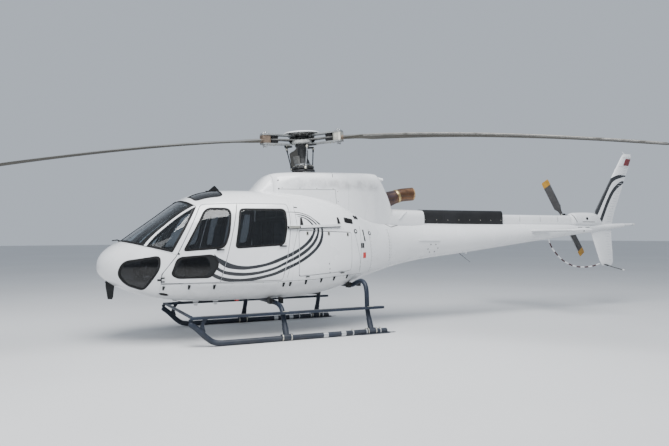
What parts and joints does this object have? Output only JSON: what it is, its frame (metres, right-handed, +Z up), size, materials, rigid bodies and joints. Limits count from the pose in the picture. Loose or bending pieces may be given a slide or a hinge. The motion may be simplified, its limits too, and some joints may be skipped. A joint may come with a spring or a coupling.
{
  "type": "light utility helicopter on skids",
  "caption": "Light single-engined helicopter on skids, with a drooping main rotor, tail rotor, glazed cabin, hinged doors, cowls, fins and long steps.",
  "frame": {"origin": "centre of the cargo hook plate's lower face on the belly, under the rotor mast; the ground lies 0.55 m below it", "axes": "+X aft to the tail, +Y to starboard, +Z up"},
  "size_m": [13.1113, 9.3138, 3.2959],
  "materials": {
    "body_paint": "gloss",
    "black_paint": "satin",
    "skid_paint": "satin",
    "blade_paint": "satin",
    "tail_blade_paint": "satin",
    "guard_paint": "gloss",
    "window_glass": "tinted, polished",
    "rotor_metal": "satin",
    "engine_metal": "dull",
    "heat_tinted_steel": "heat tinted",
    "seat_fabric": "woven",
    "cabin_plastic": "matt"
  },
  "bodies": {
    "root": {"nose_shell": "body_paint", "chin_window_left": "window_glass", "chin_window_right": "window_glass", "cabin_frame": "body_paint", "windscreen_left": "window_glass", "windscreen_right": "window_glass", "roof_window_left": "window_glass", "roof_window_right": "window_glass", "rear_door_left": "body_paint", "rear_door_right": "body_paint", "rear_door_left_window": "window_glass", "rear_door_right_window": "window_glass", "belly_floor": "body_paint", "rear_body": "body_paint", "door_rail_left": "body_paint", "door_rail_right": "body_paint", "front_cowl": "body_paint", "gearbox_cowl": "body_paint", "engine_cowl": "body_paint", "engine": "engine_metal", "exhaust": "heat_tinted_steel", "deck_fairing": "body_paint", "tail_boom": "body_paint", "shaft_cover_front": "black_paint", "shaft_cover_rear": "body_paint", "tail_gearbox_fairing": "body_paint", "upper_fin": "body_paint", "lower_fin": "body_paint", "stabiliser_left": "body_paint", "stabiliser_right": "body_paint", "tail_guard": "guard_paint", "main_gearbox": "black_paint", "skid_left": "skid_paint", "skid_right": "skid_paint", "step_left": "skid_paint", "step_right": "skid_paint", "front_cross_bar": "skid_paint", "front_cross_tube": "skid_paint", "rear_cross_tube": "skid_paint", "front_seat_left": "seat_fabric", "front_seat_right": "seat_fabric", "rear_bench": "seat_fabric", "instrument_panel": "cabin_plastic"},
    "main_rotor": {"rotor_head": "rotor_metal", "hub_cap": "body_paint", "main_blade_1": "blade_paint", "main_blade_2": "blade_paint", "main_blade_3": "blade_paint"},
    "tail_rotor": {"tail_rotor_hub": "rotor_metal", "tail_rotor_blades": "tail_blade_paint"},
    "front_door_left": {"front_door_left": "body_paint", "front_door_left_upper_window": "window_glass", "front_door_left_lower_window": "window_glass"},
    "front_door_right": {"front_door_right": "body_paint", "front_door_right_upper_window": "window_glass", "front_door_right_lower_window": "window_glass"},
    "baggage_door_left": {"baggage_door_left": "body_paint"},
    "baggage_door_right": {"baggage_door_right": "body_paint"}
  },
  "joints": [
    {"name": "main_rotor_spin", "type": "hinge", "parent": "root", "child": "main_rotor", "pos_m": [-0.136, 0, 2.53], "axis": [-0.0489, 0, 0.9988], "continuous": true},
    {"name": "tail_rotor_spin", "type": "hinge", "parent": "root", "child": "tail_rotor", "pos_m": [5.98, 0.35, 1.3], "axis": [0, 1, 0], "continuous": true},
    {"name": "front_door_left_hinge", "type": "hinge", "parent": "root", "child": "front_door_left", "pos_m": [-2.548, -0.845, 0.6], "axis": [0, 0, -1], "range_deg": [0, 80]},
    {"name": "front_door_right_hinge", "type": "hinge", "parent": "root", "child": "front_door_right", "pos_m": [-2.548, 0.845, 0.6], "axis": [0, 0, 1], "range_deg": [0, 80]},
    {"name": "baggage_door_left_hinge", "type": "hinge", "parent": "root", "child": "baggage_door_left", "pos_m": [-0.56, -0.925, 0.338], "axis": [0.9888, 0.1377, 0.058], "range_deg": [0, 95]},
    {"name": "baggage_door_right_hinge", "type": "hinge", "parent": "root", "child": "baggage_door_right", "pos_m": [-0.56, 0.925, 0.338], "axis": [-0.9888, 0.1377, -0.058], "range_deg": [0, 95]}
  ]
}
